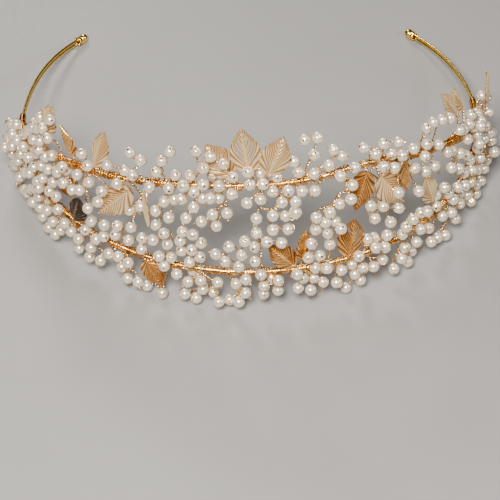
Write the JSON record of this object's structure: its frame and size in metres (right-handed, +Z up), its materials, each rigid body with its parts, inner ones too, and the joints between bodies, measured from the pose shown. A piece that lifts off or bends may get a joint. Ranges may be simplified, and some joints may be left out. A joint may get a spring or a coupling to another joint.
{
  "type": "bridal tiara",
  "caption": "Hand-wired bridal tiara: pearl sprays and stamped gold leaves on two curved rail wires that close into open side arms with ball ends.",
  "frame": {"origin": "centre of the bounding box in plan, on the table that the tiara rests on", "axes": "+X towards the wearer's left side, the tiara's right in its own front view; -Y towards the front of the crown; +Z up"},
  "size_m": [0.1756, 0.1424, 0.077],
  "materials": {
    "gold_band": "polished yellow gold",
    "copper_winding": "fine wound copper-gold wire",
    "leaf_champagne": "stamped pale champagne gold with ribbed veins",
    "leaf_copper": "stamped antique copper gold with ribbed veins",
    "leaf_dark": "stamped dark bronze",
    "pearl_spray": "glossy ivory faux pearls on fine gold wire"
  },
  "bodies": {
    "root": {"upper_rail_wire": "gold_band", "lower_rail_wire": "gold_band", "left_end_ball": "gold_band", "right_end_ball": "gold_band", "left_side_binding": "copper_winding", "right_side_binding": "copper_winding", "left_leaf_1": "leaf_champagne", "left_leaf_2": "leaf_copper", "left_leaf_3": "leaf_champagne", "left_leaf_4": "leaf_dark", "left_leaf_5": "leaf_copper", "left_leaf_6": "leaf_champagne", "left_leaf_7": "leaf_champagne", "left_leaf_8": "leaf_copper", "front_leaf_1": "leaf_champagne", "front_leaf_2": "leaf_champagne", "front_leaf_3": "leaf_champagne", "front_leaf_4": "leaf_copper", "front_leaf_5": "leaf_copper", "right_leaf_1": "leaf_copper", "right_leaf_2": "leaf_copper", "right_leaf_3": "leaf_champagne", "right_leaf_4": "leaf_copper", "right_leaf_5": "leaf_champagne", "right_leaf_6": "leaf_champagne", "right_leaf_7": "leaf_champagne", "right_leaf_8": "leaf_champagne", "upper_spray_1": "pearl_spray", "upper_spray_2": "pearl_spray", "upper_spray_3": "pearl_spray", "upper_spray_4": "pearl_spray", "upper_spray_5": "pearl_spray", "upper_spray_6": "pearl_spray", "upper_spray_7": "pearl_spray", "upper_spray_8": "pearl_spray", "upper_spray_9": "pearl_spray", "upper_spray_10": "pearl_spray", "upper_spray_11": "pearl_spray", "upper_spray_12": "pearl_spray", "upper_spray_13": "pearl_spray", "upper_spray_14": "pearl_spray", "upper_spray_15": "pearl_spray", "upper_spray_16": "pearl_spray", "upper_spray_17": "pearl_spray", "lower_spray_1": "pearl_spray", "lower_spray_2": "pearl_spray", "lower_spray_3": "pearl_spray", "lower_spray_4": "pearl_spray", "lower_spray_5": "pearl_spray", "lower_spray_6": "pearl_spray", "lower_spray_7": "pearl_spray", "lower_spray_8": "pearl_spray", "lower_spray_9": "pearl_spray", "lower_spray_10": "pearl_spray", "lower_spray_11": "pearl_spray", "lower_spray_12": "pearl_spray", "lower_spray_13": "pearl_spray", "lower_spray_14": "pearl_spray", "lower_spray_15": "pearl_spray", "lower_spray_16": "pearl_spray"}
  },
  "joints": []
}
